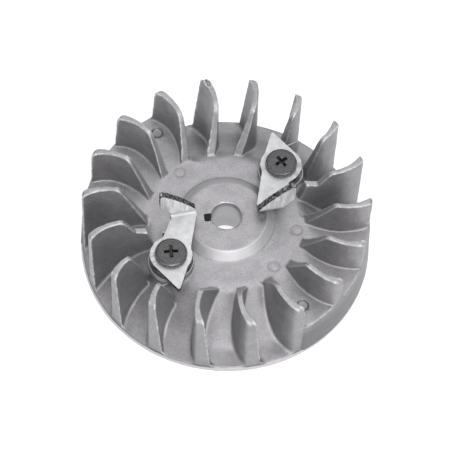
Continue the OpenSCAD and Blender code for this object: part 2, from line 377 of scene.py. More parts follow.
def foot_and_top(index):
    """Centre lines of a blade at its foot and its top, from a rounded inner end."""
    start = 0.37 if index in SHORT_BLADES else 0.055
    return [
        [blade_line(t, tip_y, bow) for t in np.linspace(start, 1.04, 22)]
        for tip_y, bow in ((TIP_Y_FOOT, 0.0), (TIP_Y_TOP, TOP_BOW))
    ]


def blade_sweep(index):
    """Height outline of a blade, swept round the axis."""
    foot, crest = SHORT_START if index in SHORT_BLADES else LONG_START
    points = [(foot + 1, 0.6, 0), (foot, FACE_Z - 0.6, 0.5)]
    if index in POST_BLADES:
        points += [(foot + 1.9, POST_TOP_Z, 0.5), (POST_END_R, POST_TOP_Z, 0.6)]
    points += [
        (crest, BLADE_TOP_Z, ROUND_CREST if index in ROUND_BLADES else PLAIN_CREST),
        (BLADE_TIP_R, BLADE_TOP_Z, 1.6),
        (RIM_FRONT_R - 0.15, 0.6, 0),
    ]
    return rounded(points)


def face_marks(field):
    """Rings left by the ejector pins on the face, and two sunk pin faces."""
    depth = np.zeros(field.r.shape)
    for radius, angle in EJECTOR_MARKS + PITS:
        away = field.away(polar(radius, angle))
        if (radius, angle) in PITS:
            depth += PIT_DEPTH * np.clip((PIT_R - away) / PIT_EDGE, 0, 1)
        else:
            depth += PIN_DEPTH * (away < PIN_R)
            depth += RING_DEPTH * np.exp(-((away - PIN_R) / RING_W) ** 2)
    near_face = np.clip(MARK_REACH - np.abs(field.z - FACE_Z), 0, 1)
    return depth[..., None] * near_face


def skin_noise(field, size=1.5, depth=0.03, seed=4):
    """Slight waviness of a cast skin, from random values on a coarse grid."""
    draw = np.random.default_rng(seed)
    axes = []
    for axis in (field.x, field.y, field.z):
        place = (axis - axis[0]) / size
        index = place.astype(int)
        share = place - index
        axes.append((index, share * share * (3 - 2 * share)))
    counts = [int(index[-1]) + 2 for index, _ in axes]
    grid = draw.standard_normal(counts)
    for dim, (index, share) in enumerate(axes):
        shape = [1, 1, 1]
        shape[dim] = -1
        share = share.reshape(shape)
        low, high = np.take(grid, index, dim), np.take(grid, index + 1, dim)
        grid = low * (1 - share) + high * share
    return grid * depth


def sector_plan():
    """Plan outline of a thick sector, between the centre lines of two blades."""
    line = [blade_line(t, TIP_Y_FOOT) for t in np.linspace(0.1, 1.02, 14)]
    line = turn(line, BLADE_START)
    arc = [polar(RIM_R + 4, a)[:2] for a in np.linspace(-51, 5, 12)]
    inner_cw = [polar(r, a)[:2] for r, a in SECTOR_INNER_CW]
    inner_ccw = [polar(r, a)[:2] for r, a in SECTOR_INNER_CCW]
    return inner_cw + turn(line, -60) + arc + line[::-1] + inner_ccw


def with_sectors(field, solid):
    """Adds the thick sectors."""
    sector = field.turned(SECTOR_SECTION)
    plan = sector_plan()
    for start in SECTOR_TURNS:
        side = outline_distance(turn(plan, start), *field.plan())
        solid = np.minimum(solid, np.maximum(sector, side[..., None]))
    return solid


def add_bosses(field, solid):
    """Adds the bosses under the pawls."""
    margin = BOSS_R + 4.5
    for pivot in PIVOTS.values():
        part = field.window(
            (pivot.x - margin, pivot.y - margin), (pivot.x + margin, pivot.y + margin)
        )
        side = field.away(pivot, part) - BOSS_R
        ends = np.maximum(field.z - BOSS_Z, BOSS_FOOT_Z - field.z)
        boss = soft_max(side[..., None], ends[None, None, :], BOSS_ROUND)
        solid[part] = soft_min(solid[part], boss, BOSS_FILLET)


def add_blades(field, solid):
    """Adds the blades, thinner towards the top, with a fillet at the foot."""
    half = BLADE_HALF_T + (BLADE_TOP_Z - field.z) * BLADE_DRAFT
    down = np.clip(FACE_Z - field.z, 0, 20)
    fillet = (FOOT_FILLET + down * FILLET_DRAFT)[None, None, :]
    for index in range(BLADE_COUNT):
        angle = BLADE_START + index * 360 / BLADE_COUNT
        lines = [turn(line, angle) for line in foot_and_top(index)]
        flat = np.array(lines[0] + lines[1])
        part = field.window(flat.min(0) - 5, flat.max(0) + 5)
        foot, top = (line_distance(line, *field.plan(part))[..., None] for line in lines)
        radius = field.r[part][..., None]
        swell = TIP_SWELL * np.clip((radius - SWELL_START_R) / SWELL_RUN, 0, 1)
        side = foot + (top - foot) * (field.z / BLADE_TOP_Z) - half - swell
        blade = soft_max(side, field.turned(blade_sweep(index), part), EDGE_ROUND)
        blade = soft_max(blade, radius - BLADE_TIP_R, TIP_ROUND)
        solid[part] = soft_min(solid[part], blade, fillet)


def chip_blade(field, solid):
    """Takes the chips out of one blade's tip."""
    reach = 1.5
    for radius, angle, below, size in CHIPS:
        spot = polar(radius, angle, BLADE_TOP_Z - below)
        part = field.window(
            (spot.x - reach, spot.y - reach), (spot.x + reach, spot.y + reach)
        )
        away = np.hypot(field.away(spot, part)[..., None], field.z - spot.z)
        solid[part] = np.maximum(solid[part], size - away)


def casting_field(step):
    """The whole casting but its bore, keyway and shoe windows."""
    edge = RIM_R + 2
    field = Field((-edge, -edge, -1.6), (edge, edge, BLADE_TOP_Z + 2), step)
    solid = with_sectors(field, field.turned(TURNED_SECTION))
    add_bosses(field, solid)
    add_blades(field, solid)

    # Nothing stands below the back edge or outside the turned rim
    wall = field.r[..., None] - np.maximum(RIM_R - field.z * WALL_LEAN, BLADE_TIP_R)
    solid = soft_max(solid, wall, RIM_ROUND)
    solid += face_marks(field) + skin_noise(field)
    chip_blade(field, solid)
    field.value = np.maximum(solid, -field.z[None, None, :])
    return field


def solid_from_loops(name, loops):
    """Closed mesh from equal rings of points, capped at both ends."""
    bm = bmesh.new()
    rings = [[bm.verts.new(Vector(p) * MM) for p in loop] for loop in loops]
    for low, high in zip(rings, rings[1:]):
        for i in range(len(low)):
            bm.faces.new((low[i - 1], low[i], high[i], high[i - 1]))
    bm.faces.new(rings[0][::-1])
    bm.faces.new(rings[-1])
    return mesh_from(bm, name)


def ring(radius, z, count=96, centre=(0, 0)):
    """Points of a level circle."""
    angles = [2 * math.pi * i / count for i in range(count)]
    return [
        (centre[0] + radius * math.cos(a), centre[1] + radius * math.sin(a), z)
        for a in angles
    ]


def cut(obj, cutter_mesh):
    """Cuts a closed mesh out of an object, and stops if neither solver can."""
    cutter = bpy.data.objects.new("cutter", cutter_mesh)
    bpy.context.scene.collection.objects.link(cutter)
    before = len(obj.data.vertices)
    for solver in ("MANIFOLD", "EXACT"):
        boolean = obj.modifiers.new("cut", "BOOLEAN")
        boolean.operation = "DIFFERENCE"
        boolean.solver = solver
        boolean.object = cutter
        apply_modifiers(obj)
        if len(obj.data.vertices) != before:
            break
    else:
        raise ValueError("the cut left " + obj.name + " as it was")
    bpy.data.objects.remove(cutter)
    bpy.data.meshes.remove(cutter_mesh)


# Distances to merge points over, the first that leaves a closed mesh being taken
MERGE_REACHES = (0.1, 0.09, 0.08, 0.07, 0.06, 0.05)


def even_out(obj):
    """Merges a voxel mesh's sliver points as far as it stays closed, then relaxes it."""
    for reach in MERGE_REACHES:
        bm = bmesh.new()
        bm.from_mesh(obj.data)
        bmesh.ops.remove_doubles(bm, verts=bm.verts, dist=reach * MM)
        closed = all(edge.is_manifold for edge in bm.edges)
        if closed:
            bm.to_mesh(obj.data)
        bm.free()
        if closed:
            break
    relax = obj.modifiers.new("relax", "SMOOTH")
    relax.factor = 0.3
    relax.iterations = 1
    apply_modifiers(obj)


def cut_bore(obj):
    """Cuts the bore: a short straight land in front, and a taper behind it."""
    land_z = HUB_TOP_Z - LAND_H
    low_r = BORE_R + (land_z - HUB_BACK_Z) * TAPER / 2
    cut(obj, solid_from_loops("bore", [
        ring(low_r + BORE_CHAMFER + 1, HUB_BACK_Z - 1),
        ring(low_r, HUB_BACK_Z + BORE_CHAMFER),
        ring(BORE_R, land_z),
        ring(BORE_R, HUB_TOP_Z - BORE_CHAMFER),
        ring(BORE_R + BORE_CHAMFER + 1, HUB_TOP_Z + 1),
    ]))


def cut_keyway(obj):
    """Cuts the keyway, right through the hub."""
    turn_key = Matrix.Rotation(math.radians(KEY_ANGLE), 3, "Z")
    w, inset = KEY_W / 2, KEY_CORNER
    outline = [
        (0, -w), (KEY_R - inset, -w), (KEY_R, inset - w),
        (KEY_R, w - inset), (KEY_R - inset, w), (0, w),
    ]
    cut(obj, solid_from_loops("key", [
        [turn_key @ Vector((x, y, z)) for x, y in outline]
        for z in (HUB_BACK_Z - 1, HUB_TOP_Z + 1)
    ]))


VOXEL, QUICK_VOXEL = 0.36, 0.8


def make_casting():
    """Casting with its blades, as one mesh from the distance field."""
    mesh = casting_field(VOXEL).mesh("casting")
    obj = add_object(
        "casting", mesh, "flywheel", ("flywheel_casting", "fan_blades")
    )
    even_out(obj)
    cut_bore(obj)
    cut_keyway(obj)
    for middle in SHOE_TURNS:
        cut(obj, shoe_block("window", middle, RIM_R + 2, 0))
    thin_out = obj.modifiers.new("thin_out", "DECIMATE")
    thin_out.ratio = 0.5
    apply_modifiers(obj)
    smooth(obj.data, 50)
    mark_machined(obj.data)
    store_bend_and_painted_shade(obj.data)
    return obj


def mark_machined(mesh):
    """Puts the bore in the second material slot and the keyway in the third."""
    for face in mesh.polygons:
        radius = face.center.to_2d().length / MM
        upright = abs(face.normal.z) < 0.8
        if upright and radius < BORE_R + 1:
            face.material_index = 1
        # Keyway faces: their slot holds painted shade
        elif upright and radius < KEY_R + 0.1:
            face.material_index = 2


def store_bend_and_painted_shade(mesh):
    """Stores each point's bend (per mm, positive on edges), which the cast material turns
    into worn edges and painted highlights, and the painted shade round its pin mark.
    """
    count = len(mesh.vertices)
    place, normal = np.zeros(count * 3), np.zeros(count * 3)
    mesh.vertices.foreach_get("co", place)
    mesh.vertices.foreach_get("normal", normal)
    place, normal = place.reshape(-1, 3) / MM, normal.reshape(-1, 3)
    ends = np.zeros(len(mesh.edges) * 2, np.int32)
    mesh.edges.foreach_get("vertices", ends)
    a, b = ends.reshape(-1, 2).T

    def gather(from_a, from_b):
        return np.bincount(a, from_b, count) + np.bincount(b, from_a, count)

    along, change = place[b] - place[a], normal[b] - normal[a]
    turned, length = (along * change).sum(1), (along * along).sum(1)
    bend = gather(turned, turned) / np.maximum(gather(length, length), 1e-6)
    links = np.maximum(gather(np.ones(len(a)), np.ones(len(a))), 1)
    for _ in range(2):
        bend = 0.4 * bend + 0.6 * gather(bend[a], bend[b]) / links
    # Painted shade: a dark ring round each pin mark, full strength at the two pits
    mark = np.zeros(count)
    for radius, angle in EJECTOR_MARKS + PITS:
        centre = polar(radius, angle)
        away = np.hypot(place[:, 0] - centre.x, place[:, 1] - centre.y)
        shade = 1.0 if (radius, angle) in PITS else 0.4
        mark += shade * np.exp(-((away - 1.85) / 0.3) ** 2)
    for name, values in (("bend", bend), ("mark", mark)):
        layer = mesh.attributes.new(name, "FLOAT", "POINT")
        layer.data.foreach_set("value", values.astype(np.float32))


# ---------- pole shoes ----------

LAMINATION, LAYER_GROOVE = 0.5, 0.09


def shoe_block(name, middle, outer, lamination):
    """Block with two arc faces, in one piece or with grooves between its layers."""
    half, count = SHOE_SPAN / 2, 14

    def outline(z, inset):
        angles = [middle - half + SHOE_SPAN * i / count for i in range(count + 1)]
        near = [polar(SHOE_R + inset, a, z) for a in angles]
        far = [polar(outer - inset - z * WALL_LEAN, a, z) for a in reversed(angles)]
        return near + far

    low, high = SHOE_LOW_Z, SHOE_HIGH_Z
    if not lamination:
        return solid_from_loops(name, [outline(low, 0), outline(high, 0)])
    loops = []
    layers = round((high - low) / lamination)
    groove = LAYER_GROOVE
    for i in range(layers):
        z = low + (high - low) * i / layers
        step = (high - low) / layers
        for share, inset in ((0.0, groove), (0.16, 0.0), (0.84, 0.0), (1.0, groove)):
            if share < 1.0 or i == layers - 1:
                loops.append(outline(z + step * share, inset))
    return solid_from_loops(name, loops)


def make_shoe(node, middle):
    """Pole shoe, a hair inside the casting's wall."""
    mesh = shoe_block(node, middle, RIM_R - 0.02, LAMINATION)
    obj = add_object("laminated_" + node, mesh, "flywheel", (node,))
    smooth(obj.data, 30)
    return obj


# ---------- pawls ----------

PAWL_Z = PAWL_LOW.z
PAWL_T, PAWL_BEVEL = 2.1, 0.16
EYE_R = 6.95
HOLE_R = 3.56
TAIL_LEN, TAIL_ANGLE = 13.0, 104.5
BEND_R = 1.2
BEND_RUN, BEND_STEPS = BEND_R * math.pi / 2, 8
CLAW_ANGLE = 15.0
ARM_CORNER = Vector((-7.4, -16.0))
ARM_END = 8.6
CLAW_TOP = PAWL_HIGH.z - PAWL_Z - PAWL_T - BEND_R

# Claw's outline from the arm's free end round its tip, as (along, above the bend)
CLAW_OUTLINE = (
    (8.65, 0), (10.2, 1.7), (11.6, 3.4), (12.0, 4.2), (12.0, CLAW_TOP - 0.8),
    (11.8, CLAW_TOP - 0.2), (11.2, CLAW_TOP), (10.2, CLAW_TOP - 0.4),
    (7.6, CLAW_TOP - 2.5), (5.0, CLAW_TOP - 5.0), (2.5, CLAW_TOP - 7.7),
    (0.8, 0.9), (0.15, 0.2),
)
ALONG = polar(1, CLAW_ANGLE).to_2d()
OUTWARD = Vector((ALONG.y, -ALONG.x))


def eye_arc(start, end, steps):
    """Points on the eye's rim between two directions, in degrees."""
    return [
        polar(EYE_R, start + (end - start) * i / steps).to_2d()
        for i in range(steps + 1)
    ]


def on_blank(u, s):
    """Point of the flat blank: u along the bend and s beyond it."""
    return ARM_CORNER + ALONG * u + OUTWARD * s


def pawl_outline():
    """Outline of the pawl's flat blank, before the claw is bent up."""
    tip = polar(TAIL_LEN, TAIL_ANGLE).to_2d()
    tail = [
        tip + Vector((0.72, -0.62)),
        tip + Vector((0.38, -0.16)),
        tip + Vector((-0.02, 0.02)),
        tip + Vector((-0.4, -0.1)),
        tip + Vector((-0.68, -0.6)),
    ]
    rise = [on_blank(u, BEND_RUN + h) for u, h in CLAW_OUTLINE]
    claw = [on_blank(ARM_END, 0)] + rise + [on_blank(0, 0)]
    return (
        eye_arc(-54, 36, 14) + tail + eye_arc(145, 204, 9)
        + [Vector((-6.35, -4.2)), Vector((-6.6, -7.0))]
        + claw[::-1] + [Vector((2.2, -9.3)), Vector((2.95, -6.7))]
    )


def bend_point(p):
    """Moves a point of the flat blank, with its depth in z, onto the bent pawl."""
    depth = -p.z
    flat = Vector((p.x, p.y)) - ARM_CORNER
    s = flat.dot(OUTWARD)
    if s <= 0:
        return Vector((p.x, p.y, PAWL_Z + PAWL_T - depth))
    angle = min(s / BEND_R, math.pi / 2)
    rest = max(s - BEND_RUN, 0)
    reach = math.sin(angle) * (BEND_R + depth)
    rise = BEND_R - math.cos(angle) * (BEND_R + depth) + rest
    place = ARM_CORNER + ALONG * flat.dot(ALONG) + OUTWARD * reach
    return Vector((place.x, place.y, PAWL_Z + PAWL_T + rise))


def make_pawl(key, half_turns):
    """Stamped pawl: a flat blank with an eye, bent up at the claw."""
    bm = bmesh.new()
    hole = [polar(HOLE_R, a).to_2d() for a in range(0, 360, 10)]
    for loop in (pawl_outline(), hole):
        verts = [bm.verts.new((p.x, p.y, 0)) for p in loop]
        for i in range(len(verts)):
            bm.edges.new((verts[i - 1], verts[i]))
    bmesh.ops.triangle_fill(bm, use_beauty=True, edges=bm.edges[:])
    for i in range(BEND_STEPS + 1):
        place = on_blank(0, BEND_RUN * i / BEND_STEPS)
        bmesh.ops.bisect_plane(
            bm, geom=bm.faces[:] + bm.edges[:] + bm.verts[:],
            plane_co=(place.x, place.y, 0), plane_no=(OUTWARD.x, OUTWARD.y, 0),
        )
    bmesh.ops.recalc_face_normals(bm, faces=bm.faces)
    if sum(f.normal.z for f in bm.faces) < 0:
        bmesh.ops.reverse_faces(bm, faces=bm.faces)
    top = set(bm.faces)
    made = bmesh.ops.extrude_face_region(bm, geom=bm.faces[:])
    lower = [g for g in made["geom"] if isinstance(g, bmesh.types.BMVert)]
    lower_faces = {g for g in made["geom"] if isinstance(g, bmesh.types.BMFace)}
    for v in lower:
        v.co.z = -PAWL_T
    for f in bm.faces:
        f.material_index = 0 if f in top or f in lower_faces else 1
    spin = Matrix.Rotation(math.pi * half_turns, 4, "Z")
    for v in bm.verts:
        place = spin @ bend_point(v.co)
        v.co = (place + Vector((PIVOTS[key].x, PIVOTS[key].y, 0))) * MM
    body = "pawl_" + key
    obj = add_object("pawl_plate_" + key, mesh_from(bm, body), body, (body,))
    bevel = obj.modifiers.new("edges", "BEVEL")
    bevel.width = PAWL_BEVEL * MM
    bevel.segments = 2
    bevel.limit_method = "ANGLE"
    bevel.angle_limit = math.radians(50)
    apply_modifiers(obj)
    smooth(obj.data, 40)
    # The claw's faces take the third slot: a painted reflection
    claw_z = PAWL_Z + PAWL_T + BEND_R
    for face in obj.data.polygons:
        if face.material_index == 0 and face.center.z / MM > claw_z:
            face.material_index = 2
    return obj


# ---------- screws and washers ----------

SHANK_R, SHOULDER_R, HEAD_R = 2.5, 3.5, 5.2
WASHER_R, WASHER_HOLE_R = 5.35, 3.55

# Cross recess from its floor up, as (arm length, half its width, height over the top)
CROSS_STEPS = ((1.1, 0.42, -1.2), (2.2, 0.52, -0.35), (2.5, 0.66, 0.4))
CROSS_REACH = 2.9


def lathe(name, profile, centre, count=96):
    """Closed mesh from (radius, height) points turned about an upright line."""
    bm = bmesh.new()
    rings = []
    for radius, z in profile:
        if radius == 0:
            rings.append([bm.verts.new(Vector((centre.x, centre.y, z)) * MM)])
        else:
            rings.append([
                bm.verts.new(Vector(p) * MM)
                for p in ring(radius, z, count, (centre.x, centre.y))
            ])
    for low, high in zip(rings, rings[1:]):
        for i in range(count):
            corners = (
                low[(i - 1) % len(low)], low[i % len(low)],
                high[i % len(high)], high[(i - 1) % len(high)],
            )
            bm.faces.new(list(dict.fromkeys(corners)))
    bmesh.ops.remove_doubles(bm, verts=bm.verts, dist=1e-7)
    return mesh_from(bm, name)


def cross_cutter(centre, top, turn_degrees):
    """Tapered cross, wider at the mouth, for a screw's recess."""
    spin = Matrix.Rotation(math.radians(turn_degrees), 3, "Z")

    def outline(arm, half, z):
        base = [
            (half, half), (half, arm), (-half, arm), (-half, half),
            (-arm, half), (-arm, -half), (-half, -half), (-half, -arm),
            (half, -arm), (half, -half), (arm, -half), (arm, half),
        ]
        place = Vector((centre.x, centre.y, z))
        return [spin @ Vector((x, y, 0)) + place for x, y in base]

    return solid_from_loops(
        "cross", [outline(arm, half, top + over) for arm, half, over in CROSS_STEPS]
    )


def make_screw(key, turn_degrees):
    """Shoulder screw with a low cylindrical head and a cross recess."""
    centre = PIVOTS[key]
    top = SCREW_HIGH.z
    under = WASHER_HIGH.z
    profile = [
        (0, SCREW_LOW.z), (SHANK_R - 0.4, SCREW_LOW.z), (SHANK_R, SCREW_LOW.z + 0.4),
        (SHANK_R, BOSS_Z), (SHOULDER_R - 0.2, BOSS_Z), (SHOULDER_R, BOSS_Z + 0.2),
        (SHOULDER_R, under - 0.02), (SHOULDER_R, under), (HEAD_R - 0.25, under),
        (HEAD_R - 0.05, under + 0.12), (HEAD_R, under + 0.3), (HEAD_R, top - 0.62),
        (HEAD_R - 0.06, top - 0.44), (HEAD_R - 0.22, top - 0.26),
        (HEAD_R - 0.45, top - 0.1), (HEAD_R - 0.7, top - 0.02), (HEAD_R - 0.85, top),
        (CROSS_REACH + 0.1, top), (0, top),
    ]
    name = "screw_" + key
    mesh = lathe(name, profile, centre)
    obj = add_object(name, mesh, "flywheel", ("pawl_" + name,))
    cut(obj, cross_cutter(centre, top, turn_degrees))
    smooth(obj.data, 35)
    for face in obj.data.polygons:
        place = face.center / MM
        away = (place - centre).to_2d().length
        # Bevel faces take the second slot: a worn edge that is also a painted highlight
        if away > HEAD_R - 0.22 and place.z > top - 0.6:
            face.material_index = 1
        # Recess faces take the third slot: painted shade
        elif away < CROSS_REACH and place.z < top - 0.05:
            face.material_index = 2
    return obj


def make_washer(key):
    """Washer under the screw's head, stamped from sheet."""
    low, high = WASHER_LOW.z, WASHER_HIGH.z
    outer, inner = WASHER_R, WASHER_HOLE_R
    profile = [
        (inner, low + 0.1), (inner + 0.1, low), (outer - 0.12, low),
        (outer, low + 0.12), (outer, high - 0.14), (outer - 0.05, high - 0.05),
        (outer - 0.16, high), (inner + 0.1, high), (inner, high - 0.1),
        (inner, low + 0.1),
    ]
    name = "washer_" + key
    mesh = lathe(name, profile, PIVOTS[key])
    obj = add_object(name, mesh, "flywheel", ("pawl_" + name,))
    smooth(obj.data, 35)
    return obj


# ---------- springs ----------

WIRE_R, WIRE_SIDES = 0.38, 12
COIL_R, COIL_PITCH, COIL_TURNS, COIL_STEPS = 7.35, 1.26, 3, 84
BRACE_ANGLE = 122.0
HOOK = Vector((3.1, -9.0))
HOOK_HEIGHTS = (20.6, 21.3)


def spring_route():
    """Wire's centre line, from the braced leg down the coil to the hook."""
    low = SPRING_LOW.z + 0.5
    high = low + 2 * COIL_PITCH
    leave = math.degrees(math.atan2(HOOK.y, HOOK.x))
    leave -= math.degrees(math.acos(COIL_R / HOOK.length))
    start = polar(COIL_R, BRACE_ANGLE, high)
    away = polar(1, BRACE_ANGLE - 90)
    route = [start + away * d for d in (10.3, 9.0, 6.0, 3.0, 1.2)]
    sweep = leave + COIL_TURNS * 360 - BRACE_ANGLE
    for i in range(COIL_STEPS + 1):
        t = i / COIL_STEPS
        route.append(polar(COIL_R, BRACE_ANGLE + sweep * t, high + (low - high) * t))
    end = polar(COIL_R, leave, low)
    hook = Vector((HOOK.x, HOOK.y, 0))
    corner = hook + Vector((0, 0, low))
    ahead = corner - end
    route += [end + ahead * t for t in (0.3, 0.6, 0.85)]
    route.append(corner + Vector((0, 0, 0.12)) - ahead.normalized() * 0.3)
    route += [hook + Vector((0, 0, z)) for z in (low + 0.7, low + 2.2, *HOOK_HEIGHTS)]
    return route, low, high


def wire_mesh(name, points):
    """Round wire along a line of points, closed at both ends."""
    bm = bmesh.new()
    rings = []
    side = (points[1] - points[0]).normalized().orthogonal().normalized()
    for i, p in enumerate(points):
        ahead = (points[min(i + 1, len(points) - 1)] - points[max(i - 1, 0)]).normalized()
        side = (side - ahead * side.dot(ahead)).normalized()
        other = ahead.cross(side)
        circle = ring(WIRE_R, 0, WIRE_SIDES)
        rings.append([
            bm.verts.new((p + side * u + other * v) * MM) for u, v, _ in circle
        ])
    for a, b in zip(rings, rings[1:]):
        for k in range(WIRE_SIDES):
            bm.faces.new((a[k - 1], a[k], b[k], b[k - 1]))
    bm.faces.new(rings[0][::-1])
    bm.faces.new(rings[-1])
    return mesh_from(bm, name)


def make_spring(key, half_turns):
    """Torsion spring between the casting and its pawl."""
    route, low, high = spring_route()
    spin = Matrix.Rotation(math.pi * half_turns, 3, "Z")
    centre = Vector((PIVOTS[key].x, PIVOTS[key].y, 0))
    name = "spring_" + key
    mesh = wire_mesh(name, [spin @ p + centre for p in route])
    obj = bpy.data.objects.new(name, mesh)
    bpy.context.scene.collection.objects.link(obj)
    smooth(mesh, 60)
    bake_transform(obj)
    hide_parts("pawl_spring_" + key)
    return obj


# ---------- materials ----------

def material(name, colour, metallic, roughness):
    """Principled material with plain values, for its nodes to be fed over."""
    mat = bpy.data.materials.new(name)
    mat.use_nodes = True
    shader = mat.node_tree.nodes["Principled BSDF"]
    shader.inputs["Base Color"].default_value = (*colour, 1)
    shader.inputs["Metallic"].default_value = metallic
    shader.inputs["Roughness"].default_value = roughness
    return mat


class Nodes:
    """Short calls for a material's node tree, in object coordinates."""

    def __init__(self, mat):
        self.tree = mat.node_tree
        self.shader = self.tree.nodes["Principled BSDF"]
        self.place = self.add("ShaderNodeTexCoord").outputs["Object"]

    def add(self, kind, **inputs):
        """New node, with inputs by name, an underscore standing for a space."""
        node = self.tree.nodes.new(kind)
        for name, value in inputs.items():
            self.feed(node.inputs[name.replace("_", " ")], value)
        return node

    def feed(self, socket, value):
        """Links or sets an input."""
        if isinstance(value, bpy.types.NodeSocket):
            self.tree.links.new(value, socket)
        else:
            socket.default_value = value

    def stretched(self, scale):
        """Coordinates scaled along each axis, for streaks."""
        node = self.add("ShaderNodeMapping", Vector=self.place)
        node.inputs["Scale"].default_value = scale
        return node.outputs["Vector"]

    def noise(self, size_mm, detail, roughness, distortion=0.0, place=None):
        """Noise whose blotches are about size_mm across."""
        node = self.add(
            "ShaderNodeTexNoise", Vector=place or self.place,
            Scale=1 / (size_mm * MM), Detail=detail, Roughness=roughness,
            Distortion=distortion,
        )
        return node.outputs["Fac"]

    def layer(self, name):
        """A value stored on the mesh's points."""
        node = self.tree.nodes.new("ShaderNodeAttribute")
        node.attribute_name = name
        return node.outputs["Fac"]

    def ramp(self, value, *stops):
        """Colour ramp from (position, grey or colour) stops."""
        node = self.add("ShaderNodeValToRGB", Fac=value)
        ramp = node.color_ramp
        while len(ramp.elements) < len(stops):
            ramp.elements.new(0.5)
        for element, (at, colour) in zip(ramp.elements, stops):
            element.position = at
            if not isinstance(colour, tuple):
                colour = (colour,) * 3
            element.color = (*colour, 1)
        return node.outputs["Color"]

    def mix(self, factor, a, b, blend="MIX"):
        """Colour a with b over it."""
        node = self.tree.nodes.new("ShaderNodeMix")
        node.data_type = "RGBA"
        node.blend_type = blend
        self.feed(node.inputs["Factor"], factor)
        for socket, value in ((node.inputs[6], a), (node.inputs[7], b)):
            if isinstance(value, tuple) and len(value) == 3:
                value = (*value, 1)
            self.feed(socket, value)
        return node.outputs[2]

    def maths(self, operation, a, b=0.0, clamp=False):
        """One sum on two values."""
        node = self.tree.nodes.new("ShaderNodeMath")
        node.operation = operation
        node.use_clamp = clamp
        self.feed(node.inputs[0], a)
        self.feed(node.inputs[1], b)
        return node.outputs[0]

    def above(self, length, start_mm, per_mm):
        """0 up to a length, then rising to 1 by so much per mm."""
        past = self.maths("SUBTRACT", length, start_mm * MM)
        return self.maths("MULTIPLY", past, per_mm / MM, True)

    def below(self, length, end_mm, per_mm):
        """0 from a length on, and rising to 1 by so much per mm before it."""
        short = self.maths("SUBTRACT", end_mm * MM, length)
        return self.maths("MULTIPLY", short, per_mm / MM, True)

    def bump(self, height, depth_mm, strength, normal=None):
        """Normal from a height, on top of another normal if one is given."""
        node = self.add("ShaderNodeBump", Height=height, Distance=depth_mm * MM)
        node.inputs["Strength"].default_value = strength
        if normal is not None:
            self.feed(node.inputs["Normal"], normal)
        return node.outputs["Normal"]

    def set(self, name, value):
        """Feeds one of the shader's own inputs."""
        self.feed(self.shader.inputs[name], value)


def cast_aluminium():
    """As-cast skin: grain, mottling, edges paled partly for wear and partly as a painted
    highlight, a painted highlight in inner corners, painted shade round the pin marks.
    """
    mat = material("cast_aluminium", (0.4, 0.4, 0.41), 0.8, 0.45)
    n = Nodes(mat)
    split = n.add("ShaderNodeSeparateXYZ", Vector=n.place)
    across = n.maths("POWER", split.outputs["X"], 2.0)
    away = n.maths("POWER", split.outputs["Y"], 2.0)
    radius = n.maths("SQRT", n.maths("ADD", across, away))
    height = split.outputs["Z"]

    # Skin
    grain = n.noise(0.32, 4, 0.6)
    mottle = n.noise(4.0, 4, 0.55)
    stain = n.noise(16.0, 2, 0.5, 0.4)
    base = n.ramp(
        mottle, (0.32, (0.32, 0.313, 0.326)), (0.68, (0.395, 0.387, 0.402))
    )
    base = n.mix(n.maths("MULTIPLY", stain, 0.3), base, (0.25, 0.245, 0.256))
    speck = n.ramp(grain, (0.34, 0.68), (0.5, 1.0), (0.66, 1.15))
    base = n.mix(1.0, base, speck, "MULTIPLY")

    # Edges, paled partly for wear and partly as a painted highlight, and inner corners,
    # given a painted highlight, among the blades only
    bend = n.maths("MULTIPLY", n.layer("bend"), n.above(radius, LONG_START[0] - 1, 2))
    rub_and_glint = n.ramp(n.noise(1.1, 4, 0.7), (0.36, 0.35), (0.6, 1.0))
    edge = n.maths("MULTIPLY", n.ramp(bend, (0.3, 0.0), (0.8, 1.0)), rub_and_glint)
    inner = n.ramp(n.maths("MULTIPLY", bend, -1.0), (0.16, 0.0), (0.5, 1.0))
    base = n.mix(n.maths("MULTIPLY", edge, 0.85), base, (0.7, 0.695, 0.71))
    base = n.mix(n.maths("MULTIPLY", inner, 0.28), base, (0.6, 0.6, 0.61))
    # Painted shade: a dark ring round each pin mark and pit
    mark = n.maths("MULTIPLY", n.layer("mark"), 0.9, True)
    base = n.mix(mark, base, (0.09, 0.088, 0.09))

    # Skimmed slope of the hub
    slope = n.maths(
        "MULTIPLY", n.below(radius, HUB_FOOT_R + 0.3, 3), n.above(radius, HUB_TOP_R - 0.2, 3)
    )
    slope = n.maths("MULTIPLY", slope, n.above(height, FACE_Z + 0.15, 4))
    base = n.mix(n.maths("MULTIPLY", slope, 0.85), base, (0.56, 0.555, 0.57))

    # Turned rim: painted shade darkens its wall, and a painted highlight brightens its front
    # edge
    turned = n.above(radius, RIM_FRONT_R - 0.3, 2.5)
    painted_lip_highlight = n.maths("MULTIPLY", turned, n.below(height, RIM_FRONT_Z, 2.5))
    base = n.mix(n.maths("MULTIPLY", turned, 0.9), base, (0.15, 0.146, 0.154))
    base = n.mix(n.maths("MULTIPLY", painted_lip_highlight, 0.9), base, (0.6, 0.59, 0.61))
    n.set("Base Color", base)
    rough = n.ramp(grain, (0.3, 0.44), (0.7, 0.6))
    n.set("Roughness", n.maths("ADD", rough, n.maths("MULTIPLY", turned, -0.12)))
    fine = n.bump(grain, 0.045, 0.7)
    n.set("Normal", n.bump(n.noise(1.6, 3, 0.6), 0.05, 0.6, fine))
    return mat


